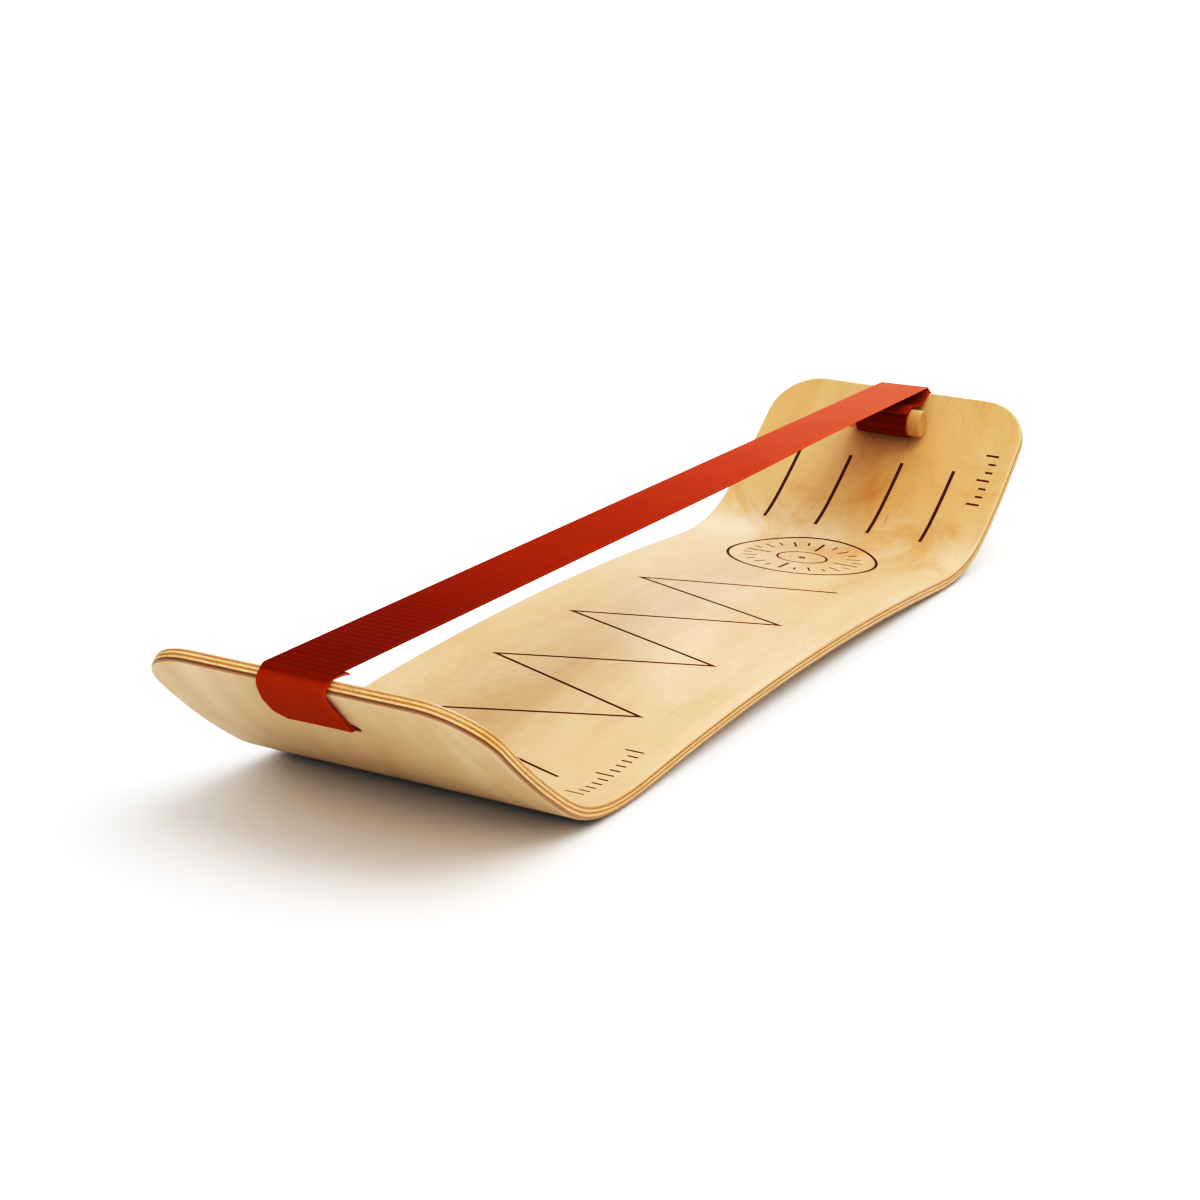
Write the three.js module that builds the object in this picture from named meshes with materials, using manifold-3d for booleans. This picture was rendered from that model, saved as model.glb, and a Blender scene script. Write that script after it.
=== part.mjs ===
// Slackline balance board: a bent plywood deck with both ends kicked up and a
// 50 mm flat webbing stretched from rim to rim.
//
// Frame: millimetres. X runs along the deck, from the near kick (-X) to the
// far kick (+X). Y runs across it. Z is up, and Z = 0 is the floor, the plane
// of the flats on the two floor strips. The origin is under the deck's centre.
//
// Places on the deck are given by arc length from its centre (negative on the
// near half) and by height above the mid-surface, along the deck's normal.
// The inner face is the deck's upper one, the outer face its underside.

import * as THREE from 'three';
import { mergeVertices } from 'three/addons/utils/BufferGeometryUtils.js';
import ManifoldModule from 'manifold-3d';

// ---------------------------------------------------------------- dimensions
const HALF_ARC = 557.0;
// centreline: [arc length, curvature in 1/mm], linear in between
const CURVATURE = [
  [0, -0.00026], [267, -0.00026], [382.6, 0.00844], [418.5, 0.00142], [560.0, 0.00142],
];
const ARC_STEP = 0.5;            // integration step along the centreline
const HALF_WIDTH = 126.8;        // at the deck's centre
const WIDTH_BELLY = 1.8;         // the sides swell this much before the kicks
const WIDTH_LOSS = 1.4;          // and lose this much by the rims
const CORNER_R = 45.0;           // plan radius of the four corners
const EDGE_R = 3.0;              // rounding of the deck's edges
const PLY_T = 1.43;              // veneer thickness
const GLUE = 0.10;               // glue line
const PLY_PITCH = PLY_T + GLUE;
const PLY_INSET = [1.5, 0.4, 0, 0, 0, 0.4, 1.5];   // edge rounding, one step per veneer
const DECK_T = PLY_INSET.length * PLY_PITCH - GLUE;
const HALF_T = DECK_T / 2;

// webbing
const WEB_W = 50.0;
const WEB_T = 1.6;
const WEB_GAP = 0.3;             // air between two layers
const WEB_PITCH = WEB_T + WEB_GAP;
const WOOD_GAP = 0.4;            // air between webbing and wood
const CENTRE_HALF = 100.0;       // half length of the middle length
const JOINT_GAP = 0.6;           // clearance between two lengths

// slots, with round ends
const SLOT_D = 49.0;             // slot centre, from the rim along the deck
const SLOT_ARC = HALF_ARC - SLOT_D;
const SLOT_HALF_L = 26.6;
const SLOT_HALF_H = 5.5;

// anchor pins; lift is from the deck's inner face to the pin's surface
const PIN_L = 70.0;
const PIN_CHAMFER = 1.2;
const PIN_GAP = 0.35;            // air between pin and webbing
const NEAR_PIN = { side: -1, radius: 6.5, lift: 1.7 };
const FAR_PIN = { side: 1, radius: 12.5, lift: 2.2 };

// floor strips
const STRIP_T = 2.0;
const STRIP_GLUE = 0.3;
const STRIP_FROM = 283.0;        // arc length at each side of a strip
const STRIP_TO = 358.0;
const STRIP_STEP = 5;
const STRIP_HALF_L = 121.0;
const STRIP_FLAT = 0.25;         // depth of the flat where it meets the floor
const STRIP_TOP = -(HALF_T + STRIP_GLUE);
const STRIP_BOTTOM = STRIP_TOP - STRIP_T;

// ------------------------------------------------------------ plane geometry
const point = (x, y) => new THREE.Vector2(x, y);

// both ends included
const stations = (from, to, step) => {
  const count = Math.round((to - from) / step);
  return Array.from({ length: count + 1 }, (_, i) => from + (to - from) * i / count);
};

const arc = (centre, radius, from, to, segments) =>
  Array.from({ length: segments + 1 }, (_, i) => {
    const angle = from + (to - from) * i / segments;
    return point(centre.x + radius * Math.cos(angle), centre.y + radius * Math.sin(angle));
  });

const counterClockwise = (loop) => (THREE.ShapeUtils.area(loop) < 0 ? loop.reverse() : loop);

// ---------------------------------------------------------- deck centreline
const curvatureAt = (arcLength) => {
  const i = CURVATURE.findIndex(([end]) => arcLength <= end);
  const [start, startValue] = CURVATURE[i - 1];
  const [end, endValue] = CURVATURE[i];
  return startValue + (endValue - startValue) * (arcLength - start) / (end - start);
};

// the far half of the centreline, starting level at x = z = 0
const traceCentreline = () => {
  const line = [{ x: 0, z: 0, slope: 0 }];
  for (let i = 1; i <= HALF_ARC / ARC_STEP; i++) {
    const last = line[i - 1];
    const slope = last.slope + curvatureAt((i - 0.5) * ARC_STEP) * ARC_STEP;
    const middle = (slope + last.slope) / 2;
    line.push({
      x: last.x + Math.cos(middle) * ARC_STEP,
      z: last.z + Math.sin(middle) * ARC_STEP,
      slope,
    });
  }
  return line;
};
const LINE = traceCentreline();

// raises the deck until only the depth of the strips' flats is below the floor
const LOWEST = Math.min(...LINE.map(({ z, slope }) => z + STRIP_BOTTOM * Math.cos(slope)));
const LIFT = -STRIP_FLAT - LOWEST;

// for arc lengths from 0 to HALF_ARC
const centreline = (arcLength) => {
  const i = Math.min(Math.floor(arcLength / ARC_STEP), LINE.length - 2);
  const part = arcLength / ARC_STEP - i;
  const mix = (key) => LINE[i][key] + (LINE[i + 1][key] - LINE[i][key]) * part;
  return { x: mix('x'), z: mix('z') + LIFT, slope: mix('slope') };
};

// X and Z of the point that lies `along` the deck from a centreline place, and
// `height` above its mid-surface, on one side of the board
const offsetFrom = (place, side, along, height) => {
  const cos = Math.cos(place.slope);
  const sin = Math.sin(place.slope);
  return point(
    side * (place.x + along * cos - height * sin),
    place.z + along * sin + height * cos,
  );
};

// X and Z at an arc length and height; past the rim the line runs on straight
const deckPoint = (arcLength, height) => {
  const distance = Math.abs(arcLength);
  const overrun = Math.max(0, distance - HALF_ARC);
  const place = centreline(Math.min(distance, HALF_ARC));
  return offsetFrom(place, arcLength < 0 ? -1 : 1, overrun, height);
};

const halfWidth = (arcLength) => {
  const squared = (arcLength / HALF_ARC) ** 2;
  return HALF_WIDTH + 4 * WIDTH_BELLY * squared * (1 - squared) - WIDTH_LOSS * squared;
};

// closest together through the bend
const HALF_STATIONS = [
  ...stations(0, 265, 53),
  ...stations(265, 420, 11).slice(1),
  ...stations(420, HALF_ARC, 22).slice(1),
];

// -------------------------------------------------------------------- solids
const wasm = await ManifoldModule();
wasm.setup();

const toSolid = (geometry) => {
  // normals and uvs would keep the corners from merging
  geometry.deleteAttribute('normal');
  geometry.deleteAttribute('uv');
  const merged = mergeVertices(geometry, 1e-4);
  return new wasm.Manifold(new wasm.Mesh({
    numProp: 3,
    vertProperties: new Float32Array(merged.attributes.position.array),
    triVerts: new Uint32Array(merged.index.array),
  }));
};

const toGeometry = (solid) => {
  const mesh = solid.getMesh();
  const positions = new Float32Array(mesh.vertProperties);
  const geometry = new THREE.BufferGeometry();
  geometry.setAttribute('position', new THREE.BufferAttribute(positions, 3));
  geometry.setIndex(new THREE.BufferAttribute(new Uint32Array(mesh.triVerts), 1));
  geometry.computeVertexNormals();
  return geometry;
};

// a profile in X and Z, extruded across Y and centred on y = 0
const acrossY = (profile, width) => {
  const shape = new THREE.Shape(profile);
  const geometry = new THREE.ExtrudeGeometry(shape, { depth: width, bevelEnabled: false });
  geometry.rotateX(Math.PI / 2);
  geometry.translate(0, width / 2, 0);
  return geometry;
};

// A cutter through one kick. The shape is drawn across the deck (first axis)
// and inwards from the rim (second axis). It is extruded both ways along the
// deck's normal at the given arc length.
const kickCutter = (shape, side, arcLength, halfDepth) => {
  const { slope } = centreline(arcLength);
  const origin = deckPoint(side * arcLength, 0);
  const geometry = new THREE.ExtrudeGeometry(shape, {
    depth: 2 * halfDepth, bevelEnabled: false, curveSegments: 10,
  });
  geometry.translate(0, arcLength - HALF_ARC, -halfDepth);
  geometry.applyMatrix4(new THREE.Matrix4().makeBasis(
    new THREE.Vector3(0, side, 0),
    new THREE.Vector3(-side * Math.cos(slope), 0, -Math.sin(slope)),
    new THREE.Vector3(-side * Math.sin(slope), 0, Math.cos(slope)),
  ).setPosition(origin.x, 0, origin.y));
  return toSolid(geometry);
};

// --------------------------------------------------------------------- plies
const BLANK_MARGIN = 10;         // ply blank beyond the deck's sides
const PLAN_OVERRUN = 20;         // plan outline beyond the rims
const PLAN_BOTTOM = -20;
const PLAN_HEIGHT = 200;
const SLOT_CUT_DEPTH = 12;       // each way from the mid-surface
const CORNER_CUT_DEPTH = 14;
const CORNER_CUT_MARGIN = 12;    // corner cutter beyond rim and side
const CORNER_CUT_D = 25;         // from the rim to where the corner cutter is square to the deck
const CORNER_SEGMENTS = 9;

// what is cut away outside a corner's quarter circle; mirror picks the side in Y
const cornerShape = (inset, mirror) => {
  const width = halfWidth(HALF_ARC - CORNER_R / 2);
  const centre = point(width - CORNER_R, CORNER_R);
  const outside = width + CORNER_CUT_MARGIN;
  const loop = [
    ...arc(centre, CORNER_R - inset, 0, -Math.PI / 2, CORNER_SEGMENTS),
    point(centre.x, -CORNER_CUT_MARGIN),
    point(outside, -CORNER_CUT_MARGIN),
    point(outside, CORNER_R),
  ];
  return new THREE.Shape(loop.map(({ x, y }) => point(mirror * x, y)));
};

const slotShape = () => {
  const endCentre = SLOT_HALF_L - SLOT_HALF_H;
  const quarter = Math.PI / 2;
  const shape = new THREE.Shape();
  shape.absarc(endCentre, SLOT_D, SLOT_HALF_H, -quarter, quarter, false);
  shape.absarc(-endCentre, SLOT_D, SLOT_HALF_H, quarter, 3 * quarter, false);
  shape.closePath();
  return shape;
};

// the deck's sides as a tall prism, running past both rims
const planPrism = (inset) => {
  const quarter = [
    ...HALF_STATIONS.map((s) => point(centreline(s).x, halfWidth(s) - inset)),
    point(deckPoint(HALF_ARC, 0).x + PLAN_OVERRUN, halfWidth(HALF_ARC) - inset),
  ];
  const leftHalf = quarter.slice(1).reverse().map(({ x, y }) => point(-x, y));
  const upper = [...leftHalf, ...quarter];
  const lower = upper.map(({ x, y }) => point(x, -y)).reverse();
  const geometry = new THREE.ExtrudeGeometry(new THREE.Shape([...upper, ...lower]), {
    depth: PLAN_HEIGHT, bevelEnabled: false,
  });
  geometry.translate(0, 0, PLAN_BOTTOM);
  return toSolid(geometry);
};

// veneer 0 is the inner face
const ply = (index) => {
  const inset = PLY_INSET[index];
  const high = HALF_T - index * PLY_PITCH;
  const low = high - PLY_T;
  const half = [...HALF_STATIONS.slice(0, -1), HALF_ARC - inset];
  const all = [...half.slice(1).reverse().map((s) => -s), ...half];
  const profile = [
    ...all.map((s) => deckPoint(s, low)),
    ...all.map((s) => deckPoint(s, high)).reverse(),
  ];
  const blank = toSolid(acrossY(profile, 2 * (HALF_WIDTH + BLANK_MARGIN)));
  let solid = blank.intersect(planPrism(inset));
  for (const side of [-1, 1]) {
    solid = solid.subtract(kickCutter(slotShape(), side, SLOT_ARC, SLOT_CUT_DEPTH));
    for (const mirror of [-1, 1]) {
      const shape = cornerShape(inset, mirror);
      const arcLength = HALF_ARC - CORNER_CUT_D;
      solid = solid.subtract(kickCutter(shape, side, arcLength, CORNER_CUT_DEPTH));
    }
  }
  return toGeometry(solid);
};

// ------------------------------------------------------------- floor strips
const floorStrip = (side) => {
  const places = stations(STRIP_FROM, STRIP_TO, STRIP_STEP).map((s) => side * s);
  const top = places.map((s) => deckPoint(s, STRIP_TOP));
  const bottom = places.map((s) => deckPoint(s, STRIP_BOTTOM))
    .map(({ x, y }) => point(x, Math.max(0, y)));
  return acrossY(counterClockwise([...top, ...bottom.reverse()]), 2 * STRIP_HALF_L);
};

// ------------------------------------------------------------- webbing paths
// Near a kick, paths are drawn in a plane with x inwards from the rim and y
// above the mid-surface. These two turn such a point into world X and Z.
// This one follows the deck's curve:
const alongKick = (side) => ({ x, y }) => deckPoint(side * (HALF_ARC - x), y);
// and this one is straight, tangent to the deck at the slot:
const atSlot = (side) => ({ x, y }) => offsetFrom(centreline(SLOT_ARC), side, SLOT_D - x, y);

const MIN_POINT_GAP = 0.05;      // closer path points are dropped
const MIN_MITRE = 0.5;           // limits the widening at sharp turns

// the webbing's thickness laid along an open path in X and Z
const webbingAlong = (path) => {
  const points = path.filter((p, i) => i === 0 || p.distanceTo(path[i - 1]) > MIN_POINT_GAP);
  const last = points.length - 1;
  const left = [];
  const right = [];
  points.forEach((p, i) => {
    const arriving = p.clone().sub(points[Math.max(0, i - 1)]).normalize();
    const leaving = points[Math.min(last, i + 1)].clone().sub(p).normalize();
    const tangent = arriving.clone().add(leaving).normalize();
    const mitre = i === 0 || i === last ? 1 : Math.max(MIN_MITRE, tangent.dot(arriving));
    const offset = point(-tangent.y, tangent.x).multiplyScalar(WEB_T / 2 / mitre);
    left.push(p.clone().add(offset));
    right.push(p.clone().sub(offset));
  });
  return acrossY(counterClockwise([...left, ...right.reverse()]), WEB_W);
};

const FREE_OFFSET = WOOD_GAP + WEB_T / 2;          // wood to the free layer's middle
const LOADED_OFFSET = FREE_OFFSET + WEB_PITCH;     // wood to the loaded layer's middle
const FREE_R = EDGE_R + FREE_OFFSET;               // over the rim
const LOADED_R = EDGE_R + LOADED_OFFSET;
const INNER_EDGE = point(EDGE_R, HALF_T - EDGE_R); // centres of the rim's two roundings
const OUTER_EDGE = point(EDGE_R, -HALF_T + EDGE_R);

// the world's up, as an angle in the kick's plane
const RIM_SLOPE = centreline(HALF_ARC).slope;
const UP_ANGLE = Math.atan2(Math.cos(RIM_SLOPE), -Math.sin(RIM_SLOPE));

const pinCentre = ({ radius, lift }) => point(SLOT_D, HALF_T + lift + radius);

// ----------------------------------------------------------- webbing anchors
const FOLD_EXTRA_R = 2.2;        // free layer's fold radius beyond its offset from the wood
const FILLET_R = 4.0;            // where the layers spread to go round the pin
const FACE_RUN = [16, 29];       // path points on the outer face, from the rim

const anchor = (pin) => {
  const { side, radius } = pin;
  const foldR = FREE_OFFSET + FOLD_EXTRA_R;
  const foldCentre = point(SLOT_D - WEB_PITCH / 2 - foldR, -HALF_T + foldR - FREE_OFFSET);
  const loopR = radius + PIN_GAP + WEB_T / 2;
  const loopCentre = pinCentre(pin);
  const across = WEB_PITCH / 2 + FILLET_R;
  const rise = Math.sqrt((FILLET_R + loopR) ** 2 - across ** 2);
  const filletY = loopCentre.y - rise;
  const filletAngle = Math.atan2(rise, across);
  const lowerFillet = point(SLOT_D + across, filletY);
  const upperFillet = point(SLOT_D - across, filletY);

  // loaded layer: over the rim and down the outer face
  const down = [
    ...arc(INNER_EDGE, LOADED_R, UP_ANGLE, Math.PI, 7),
    ...arc(OUTER_EDGE, LOADED_R, Math.PI, 3 * Math.PI / 2, 9),
    ...FACE_RUN.map((x) => point(x, -HALF_T - LOADED_OFFSET)),
  ];
  // into the slot's lower side, round the pin, and out of its upper side
  const loop = [
    ...arc(foldCentre, foldR + WEB_PITCH, -Math.PI / 2, 0, 9),
    ...arc(lowerFillet, FILLET_R, Math.PI, Math.PI - filletAngle, 6),
    ...arc(loopCentre, loopR, -filletAngle, Math.PI + filletAngle, 36),
    ...arc(upperFillet, FILLET_R, filletAngle, 0, 6),
    ...arc(foldCentre, foldR, 0, -Math.PI / 2, 7),
  ];
  // free layer: up the outer face, under the loaded layer, and over the rim
  const up = [
    ...FACE_RUN.map((x) => point(x, -HALF_T - FREE_OFFSET)).reverse(),
    ...arc(OUTER_EDGE, FREE_R, 3 * Math.PI / 2, Math.PI, 7),
    ...arc(INNER_EDGE, FREE_R, Math.PI, UP_ANGLE, 6),
  ];
  return webbingAlong([
    ...down.map(alongKick(side)),
    ...loop.map(atSlot(side)),
    ...up.map(alongKick(side)),
  ]);
};

// ------------------------------------------------------------- webbing spans
// centres of the rims' inner roundings, in X and Z
const NEAR_RIM = alongKick(-1)(INNER_EDGE);
const FAR_RIM = alongKick(1)(INNER_EDGE);
const SPAN_Z = FAR_RIM.y + LOADED_R;

const span = (fromX, toX) => {
  const low = SPAN_Z - WEB_T / 2;
  const high = SPAN_Z + WEB_T / 2;
  return acrossY([point(fromX, low), point(toX, low), point(toX, high), point(fromX, high)], WEB_W);
};

// ------------------------------------------------------------- webbing tails
const NEAR_TAIL_L = 26.0;
const NEAR_TAIL_DROP = THREE.MathUtils.degToRad(2.3);      // below the span
// [fraction of the tail's length, sag below its straight line]
const NEAR_TAIL_SAG = [[0, 0], [0.5, 0], [0.8, 0.25], [1, 0.8]];

const nearTail = () => webbingAlong(NEAR_TAIL_SAG.map(([fraction, sag]) => {
  const length = NEAR_TAIL_L * fraction;
  return point(
    NEAR_RIM.x + JOINT_GAP + length * Math.cos(NEAR_TAIL_DROP),
    NEAR_RIM.y + FREE_R - length * Math.sin(NEAR_TAIL_DROP) - sag,
  );
}));

const FAR_TAIL_START = 0.14;     // angle past the anchor's free end
const FAR_TAIL_LEAVE = 0.05;     // angle short of square to the inner face
// [distance from the rim, height above the inner face]
const FAR_TAIL_FACE = [[12, 3.0], [19, 4.6]];
const DRAPE_TURN = 0.30;         // turns the arc over the pin inwards
const FAR_TAIL_DROOP = [[-6, -1.7], [-12, -4.6]];  // [X, Z] from the end of that arc

const farTail = () => {
  // round the rim's inner edge, then down the inner face, a little proud of it
  const face = [
    ...arc(INNER_EDGE, FREE_R, UP_ANGLE - FAR_TAIL_START, Math.PI / 2 + FAR_TAIL_LEAVE, 4),
    ...FAR_TAIL_FACE.map(([x, height]) => point(x, HALF_T + height)),
  ];
  // over the wrapped pin, then drooping free
  const drapeR = FAR_PIN.radius + PIN_GAP + WEB_PITCH + WEB_T / 2;
  const drape = arc(pinCentre(FAR_PIN), drapeR, Math.PI - DRAPE_TURN, UP_ANGLE - DRAPE_TURN, 10);
  const path = [...face.map(alongKick(1)), ...drape.map(atSlot(1))];
  const end = path[path.length - 1];
  return webbingAlong([...path, ...FAR_TAIL_DROOP.map(([x, z]) => point(end.x + x, end.y + z))]);
};

// --------------------------------------------------------------- anchor pins
// a rod along Y, chamfered at both ends
const pinRod = ({ radius }) => {
  const half = PIN_L / 2;
  return new THREE.LatheGeometry([
    point(0, -half),
    point(radius - PIN_CHAMFER, -half),
    point(radius, -half + PIN_CHAMFER),
    point(radius, half - PIN_CHAMFER),
    point(radius - PIN_CHAMFER, half),
    point(0, half),
  ], 48);
};

// ------------------------------------------------------------------ assembly
const FINISH = {
  faceWood: { color: 0xe3c79a, roughness: 0.38 },
  underWood: { color: 0xcdb496, roughness: 0.45 },
  lightPly: { color: 0xe6c48c, roughness: 0.5 },
  darkPly: { color: 0xc08a50, roughness: 0.55 },
  web: { color: 0xd63a1c, roughness: 0.72 },
  pinWood: { color: 0xd9a864, roughness: 0.6 },
  rubber: { color: 0x2a2622, roughness: 0.9 },
};

const put = (parent, name, geometry, finish) => {
  const mesh = new THREE.Mesh(geometry, new THREE.MeshStandardMaterial(finish));
  mesh.name = name;
  parent.add(mesh);
  return mesh;
};

const board = new THREE.Group();
const deck = new THREE.Group();
const webbing = new THREE.Group();
board.add(deck, webbing);

const VENEERS = [
  ['1_top_face', FINISH.faceWood],
  ['2_cross', FINISH.darkPly],
  ['3_long', FINISH.lightPly],
  ['4_core_cross', FINISH.darkPly],
  ['5_long', FINISH.lightPly],
  ['6_cross', FINISH.darkPly],
  ['7_bottom_face', FINISH.underWood],
];
VENEERS.forEach(([name, finish], i) => put(deck, `deck_veneer_${name}`, ply(i), finish));
put(deck, 'near_floor_strip', floorStrip(-1), FINISH.rubber);
put(deck, 'far_floor_strip', floorStrip(1), FINISH.rubber);

const SPAN_START = CENTRE_HALF + JOINT_GAP;
const WEBBING = {
  near_anchor: anchor(NEAR_PIN),
  far_anchor: anchor(FAR_PIN),
  near_tail: nearTail(),
  far_tail: farTail(),
  near_span: span(NEAR_RIM.x + JOINT_GAP, -SPAN_START),
  far_span: span(SPAN_START, FAR_RIM.x - JOINT_GAP),
  centre: span(-CENTRE_HALF, CENTRE_HALF),
};
for (const [name, geometry] of Object.entries(WEBBING)) {
  put(webbing, `webbing_${name}`, geometry, FINISH.web);
}

for (const [name, pin] of [['near_anchor_pin', NEAR_PIN], ['far_anchor_pin', FAR_PIN]]) {
  const centre = alongKick(pin.side)(pinCentre(pin));
  put(board, name, pinRod(pin), FINISH.pinWood).position.set(centre.x, 0, centre.y);
}

export default board;
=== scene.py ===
# Balance board: a bent plywood deck whose ends kick up, with a red webbing band strung from rim
# to rim. At each end the band goes round the rim, under the deck, up through a slot and round a
# wooden pin. X runs along the board (near end -X, far end +X), Y across it, Z up; floor at Z = 0.
# Lengths are in millimetres and become metres when a mesh is made. Deck coordinates, the "dev"
# attribute, are (arc length from the middle, across, height above the deck's mid-surface).
import bpy
import bmesh
import math
import numpy as np
from mathutils import Vector, Matrix


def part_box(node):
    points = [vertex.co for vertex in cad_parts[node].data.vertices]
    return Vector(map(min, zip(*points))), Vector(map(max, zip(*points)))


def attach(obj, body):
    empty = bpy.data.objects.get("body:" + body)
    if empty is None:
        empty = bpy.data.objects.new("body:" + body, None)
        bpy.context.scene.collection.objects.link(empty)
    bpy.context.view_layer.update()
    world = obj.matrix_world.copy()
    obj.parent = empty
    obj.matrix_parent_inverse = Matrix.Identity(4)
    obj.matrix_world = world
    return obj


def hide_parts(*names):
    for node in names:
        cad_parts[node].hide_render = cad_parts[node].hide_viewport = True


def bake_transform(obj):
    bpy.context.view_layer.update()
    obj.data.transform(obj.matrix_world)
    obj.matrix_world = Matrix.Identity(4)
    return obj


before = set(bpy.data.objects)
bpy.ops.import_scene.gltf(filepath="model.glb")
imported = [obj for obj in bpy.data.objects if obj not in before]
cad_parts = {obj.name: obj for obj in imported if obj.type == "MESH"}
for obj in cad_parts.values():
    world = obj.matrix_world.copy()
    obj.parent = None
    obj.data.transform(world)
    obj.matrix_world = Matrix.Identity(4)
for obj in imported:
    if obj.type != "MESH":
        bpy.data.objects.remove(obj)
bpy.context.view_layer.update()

MM = 0.001

# ---------------------------------------------------------------- deck sizes
HALF_ARC = 557.0                # middle to rim along the centreline
CURVATURE = [                   # (arc length, curvature in 1/mm)
    (0, -0.00026),
    (267, -0.00026),
    (382.6, 0.00844),
    (418.5, 0.00142),
    (560.0, 0.00142),
]
LINE_STEP = 0.5                 # step used to trace the centreline
HALF_WIDTH = 126.8              # at the middle of the board
WIDTH_BELLY = 1.8               # extra half width between middle and rim
WIDTH_LOSS = 1.4                # half width lost at the rim
CORNER_R = 45.0                 # corners of the outline, seen from above
PLIES = 7
PLY_T, GLUE = 1.43, 0.10
DECK_T = PLIES * PLY_T + (PLIES - 1) * GLUE
H = DECK_T / 2                  # from the mid-surface to either face
EDGE_R = 3.0                    # rounding of the deck's outer edge
SLOT_ROUND = 1.0                # rounding of the slots' edges
SLOT_D = 49.0                   # rim to slot centre
SLOT_S = HALF_ARC - SLOT_D
SLOT_HALF_L = 26.6              # across the board
SLOT_HALF_W = 5.5               # along the board; also the radius of the slot's ends
WEB_Y = 1.3                     # the band and slots lie a little off the centreline


# ---------------------------------------------------------------- centreline
def trace_centreline():
    """Rows of (x, z, slope) from the middle to the far rim, LINE_STEP apart."""
    line = [(0.0, 0.0, 0.0)]
    stations, curvatures = zip(*CURVATURE)
    for i in range(1, int(HALF_ARC / LINE_STEP) + 1):
        x, z, angle = line[-1]
        curvature = float(np.interp((i - 0.5) * LINE_STEP, stations, curvatures))
        new_angle = angle + curvature * LINE_STEP
        mean = (angle + new_angle) / 2
        line.append((x + math.cos(mean) * LINE_STEP, z + math.sin(mean) * LINE_STEP, new_angle))
    return np.array(line)


LINE = trace_centreline()
LINE_ARC = np.arange(len(LINE)) * LINE_STEP
# the height comes from the CAD: the lowest point of the under face
LIFT = (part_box("deck_veneer_7_bottom_face")[0].z / MM
        - (LINE[:, 1] - H * np.cos(LINE[:, 2])).min())


def at(s, n):
    """(x, z) at arc length s and height n, arrays allowed; past a rim the line runs straight."""
    s, n = np.broadcast_arrays(np.asarray(s, float), np.asarray(n, float))
    side = np.where(s < 0, -1.0, 1.0)
    u = np.abs(s)
    over = np.maximum(0, u - HALF_ARC)
    u = np.minimum(u, HALF_ARC)
    x, z, angle = (np.interp(u, LINE_ARC, LINE[:, i]) for i in range(3))
    return (side * (x + over * np.cos(angle) - n * np.sin(angle)),
            z + LIFT + over * np.sin(angle) + n * np.cos(angle))


def slope(s):
    return float(np.interp(abs(s), LINE_ARC, LINE[:, 2]))


def half_width(s):
    share = (s / HALF_ARC) ** 2
    return HALF_WIDTH + 4 * WIDTH_BELLY * share * (1 - share) - WIDTH_LOSS * share


def deck_to_world(dev):
    x, z = at(dev[:, 0], dev[:, 2])
    return np.stack([x, dev[:, 1], z], 1) * MM


def round_over(depth, radius):
    """How far a rounded edge is drawn in at a depth below its face."""
    if depth >= radius:
        return 0.0
    return radius - math.sqrt(max(0.0, radius ** 2 - (radius - depth) ** 2))


# ---------------------------------------------------------------- mesh helpers
def mesh_object(name, verts, faces, attrs, sharp=35, smooth=True):
    """Object from verts in metres; attrs maps names to per-point values, sharp is in degrees."""
    mesh = bpy.data.meshes.new(name)
    mesh.from_pydata([tuple(v) for v in verts], [], [tuple(int(i) for i in f) for f in faces])
    mesh.validate()
    for key, values in attrs.items():
        values = np.asarray(values, np.float32)
        is_vector = values.ndim == 2
        attr = mesh.attributes.new(key, "FLOAT_VECTOR" if is_vector else "FLOAT", "POINT")
        attr.data.foreach_set("vector" if is_vector else "value", values.ravel())
    if smooth:
        mesh.shade_smooth()
        mesh.set_sharp_from_angle(angle=math.radians(sharp))
    mesh.update()
    return link_object(name, mesh)


def link_object(name, data):
    ob = bpy.data.objects.new(name, data)
    bpy.context.scene.collection.objects.link(ob)
    return ob


def finish_piece(ob, mat, body, slot, *replaced):
    ob.data.materials.append(mat)
    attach(ob, body)
    if replaced:
        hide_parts(*replaced)


def block_ring(row0, row1, col0, col1):
    """Grid indices round the outline of a block of rows and columns."""
    return ([(r, col0) for r in range(row0, row1 + 1)]
            + [(row1, c) for c in range(col0 + 1, col1 + 1)]
            + [(r, col1) for r in range(row1 - 1, row0 - 1, -1)]
            + [(row0, c) for c in range(col1 - 1, col0, -1)])


def sheet_faces(top, low, holes=()):
    """Faces of two index grids, upper and lower, leaving the hole blocks open."""
    open_cells = {(r, c) for row0, row1, col0, col1 in holes
                  for r in range(row0, row1) for c in range(col0, col1)}
    faces = []
    for r in range(top.shape[0] - 1):
        for c in range(top.shape[1] - 1):
            if (r, c) in open_cells:
                continue
            faces.append((top[r, c], top[r + 1, c], top[r + 1, c + 1], top[r, c + 1]))
            faces.append((low[r, c], low[r, c + 1], low[r + 1, c + 1], low[r + 1, c]))
    return faces


def wall_faces(low, high, ring):
    """Faces that join two index grids along a closed ring."""
    return [(low[p], low[q], high[q], high[p]) for p, q in zip(ring, ring[1:] + ring[:1])]


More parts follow.
